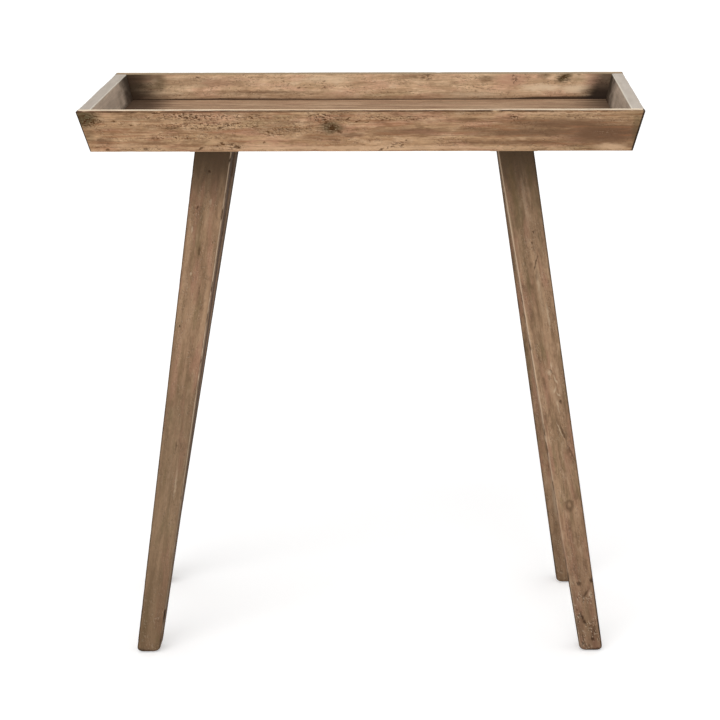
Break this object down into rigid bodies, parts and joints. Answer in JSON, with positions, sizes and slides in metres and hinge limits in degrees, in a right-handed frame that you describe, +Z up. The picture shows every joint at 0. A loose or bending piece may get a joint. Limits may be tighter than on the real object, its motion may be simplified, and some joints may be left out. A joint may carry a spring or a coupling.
{
  "type": "accent table",
  "caption": "Narrow wooden accent table: a shallow tray top with flared board walls on square, tapered legs that splay out both ways.",
  "frame": {"origin": "on the ground under the middle of the table", "axes": "+X to the table's right along its width, +Y to its back, +Z up"},
  "size_m": [0.72, 0.3214, 0.766],
  "materials": {
    "tray_wood": "distressed, dry brown stain with pale worn arrises",
    "floor_wood": "distressed, dry brown stain",
    "leg_wood": "distressed, dry grey brown stain",
    "bearer_wood": "sawn, stained grey brown",
    "tongue_wood": "bare hardwood",
    "zinc_steel": "zinc plated"
  },
  "bodies": {
    "root": {"front_board": "tray_wood", "back_board": "tray_wood", "left_board": "tray_wood", "right_board": "tray_wood", "floor_plank_front": "floor_wood", "floor_plank_middle": "floor_wood", "floor_plank_back": "floor_wood", "leg_front_left": "leg_wood", "leg_front_right": "leg_wood", "leg_back_left": "leg_wood", "leg_back_right": "leg_wood", "left_bearer": "bearer_wood", "right_bearer": "bearer_wood", "corner_tongue_front_left": "tongue_wood", "corner_tongue_front_right": "tongue_wood", "corner_tongue_back_left": "tongue_wood", "corner_tongue_back_right": "tongue_wood", "leg_bolts": "zinc_steel", "leg_washers": "zinc_steel", "bearer_screws": "zinc_steel"}
  },
  "joints": []
}
